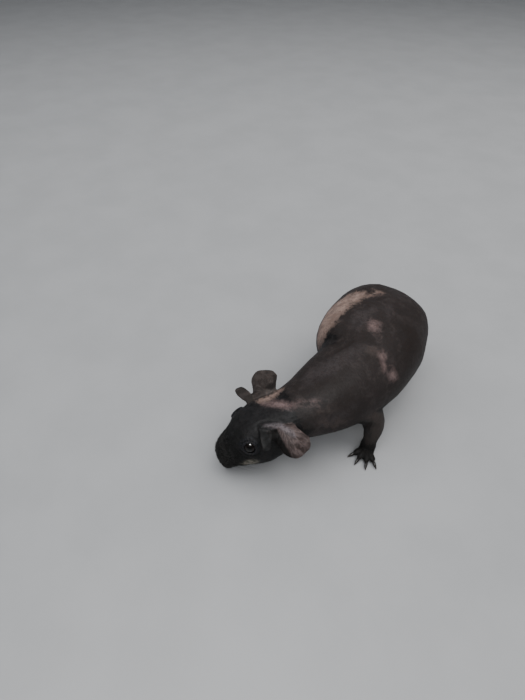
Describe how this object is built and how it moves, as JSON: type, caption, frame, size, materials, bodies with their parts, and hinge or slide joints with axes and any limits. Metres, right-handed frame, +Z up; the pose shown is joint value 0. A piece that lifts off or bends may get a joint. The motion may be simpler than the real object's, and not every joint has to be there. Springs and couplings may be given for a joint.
{
  "type": "skinny pig",
  "caption": "Hairless guinea pig standing with its body bent to its right, head low, front feet spread and ears out to the sides.",
  "frame": {"origin": "on the floor under the middle of the model's box", "axes": "+Z up, -Y the way the animal faces, +X to its left"},
  "size_m": [0.1214, 0.2284, 0.0846],
  "materials": {
    "skin": "dry bare skin, dark with pink and tan patches",
    "eye": "wet and glossy",
    "claw": "smooth horn"
  },
  "bodies": {
    "root": {"torso": "skin", "neck": "skin", "head": "skin", "ear_left": "skin", "ear_right": "skin", "leg_front_left": "skin", "leg_front_right": "skin", "leg_hind_left": "skin", "leg_hind_right": "skin", "foot_front_left": "skin", "foot_front_right": "skin", "foot_hind_left": "skin", "foot_hind_right": "skin", "eye_left": "eye", "eye_right": "eye", "claw_front_left_1": "claw", "claw_front_left_2": "claw", "claw_front_left_3": "claw", "claw_front_left_4": "claw", "claw_front_right_1": "claw", "claw_front_right_2": "claw", "claw_front_right_3": "claw", "claw_front_right_4": "claw", "claw_hind_left_1": "claw", "claw_hind_left_2": "claw", "claw_hind_left_3": "claw", "claw_hind_right_1": "claw", "claw_hind_right_2": "claw", "claw_hind_right_3": "claw"}
  },
  "joints": []
}
